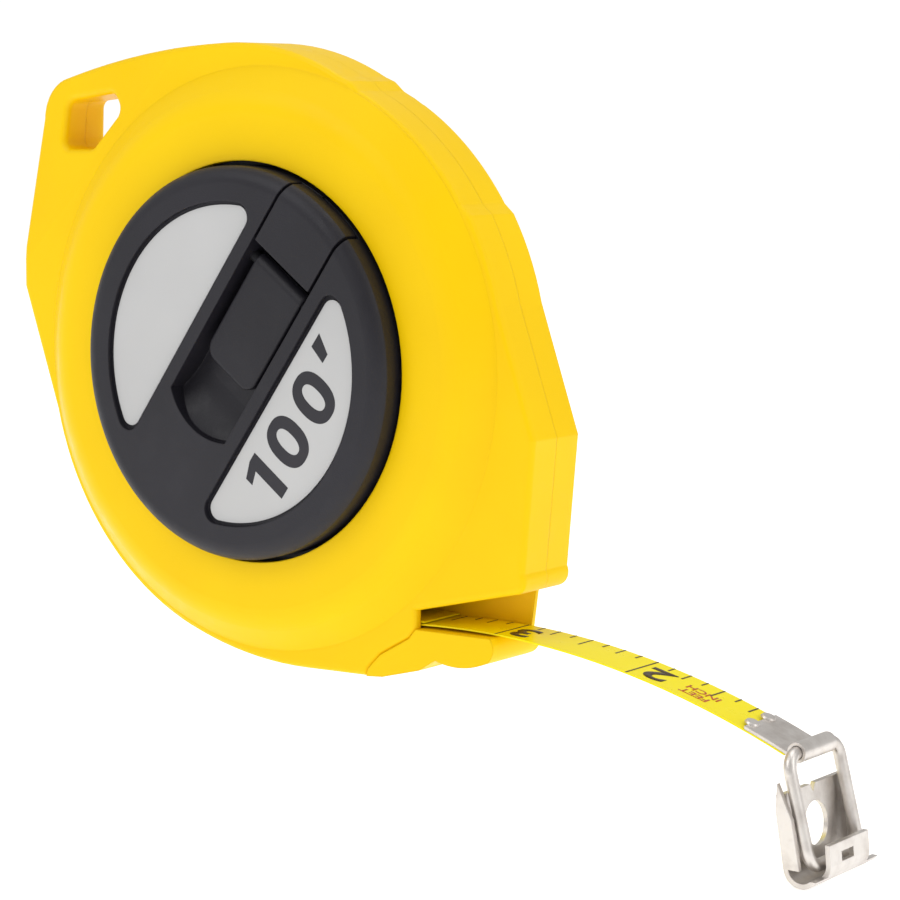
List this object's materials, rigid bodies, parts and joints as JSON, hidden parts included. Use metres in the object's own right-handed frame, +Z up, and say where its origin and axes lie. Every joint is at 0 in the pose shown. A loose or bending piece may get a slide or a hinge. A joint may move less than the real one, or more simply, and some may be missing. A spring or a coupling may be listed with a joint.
{
  "type": "long tape measure",
  "caption": "Closed-case long tape measure with a crank disc, a folding handle, a drum lock, a drawn blade end and a ring with a folding claw.",
  "frame": {"origin": "centre of the flat rear face, on the reel's axis", "axes": "+X towards the mouth and the blade's end, +Y from front to back along the reel's axis, +Z up"},
  "size_m": [0.1675, 0.0264, 0.1254],
  "materials": {
    "case_plastic": "moulded yellow plastic, satin",
    "black_plastic": "moulded black plastic, fine spark grain",
    "label": "printed label, pale",
    "blade_paint": "painted steel tape with printed scale",
    "nickel": "nickel plated pressed steel",
    "steel": "zinc plated steel",
    "reel_plastic": "moulded reel plastic"
  },
  "bodies": {
    "case": {"front_shell": "case_plastic", "rear_shell": "case_plastic", "mouth_piece": "case_plastic", "case_screws": "steel", "spool_axle": "steel", "axle_washer": "steel", "axle_screw": "steel", "blade_lead": "blade_paint"},
    "reel": {"drum": "reel_plastic", "rear_flange": "reel_plastic", "tape_coil": "blade_paint", "blade_anchor": "steel", "crank_disc": "black_plastic", "disc_screws": "steel", "left_label": "label", "right_label": "label", "crank_pin": "steel", "lock_spring": "steel"},
    "handle": {"crank_handle": "black_plastic"},
    "lock": {"lock_slider": "black_plastic"},
    "blade": {"blade": "blade_paint", "hook_clip": "nickel", "clip_rivets": "nickel"},
    "ring": {"end_ring": "nickel"},
    "claw": {"claw": "nickel"}
  },
  "joints": [
    {"name": "reel_spin", "type": "hinge", "parent": "case", "child": "reel", "pos_m": [0, -0.0109, 0], "axis": [0, 1, 0], "continuous": true},
    {"name": "handle_fold", "type": "hinge", "parent": "reel", "child": "handle", "pos_m": [0.01013, -0.0234, 0.0139], "axis": [-0.808, 0, 0.5892], "range_deg": [0, 95]},
    {"name": "lock_slide", "type": "slide", "parent": "reel", "child": "lock", "axis": [0.5892, 0, 0.808], "range_m": [0, 0.0022]},
    {"name": "blade_feed", "type": "hinge", "parent": "case", "child": "blade", "pos_m": [0.042, -0.0109, -0.1965], "axis": [0, 1, 0], "range_deg": [-7.2, 4.4]},
    {"name": "ring_swing", "type": "hinge", "parent": "blade", "child": "ring", "pos_m": [0.1037, -0.0109, -0.0529], "axis": [0, 1, 0], "range_deg": [-110, 45]},
    {"name": "claw_fold", "type": "hinge", "parent": "ring", "child": "claw", "pos_m": [0.10793, -0.0109, -0.06926], "axis": [0, -1, 0], "range_deg": [0, 110]}
  ]
}
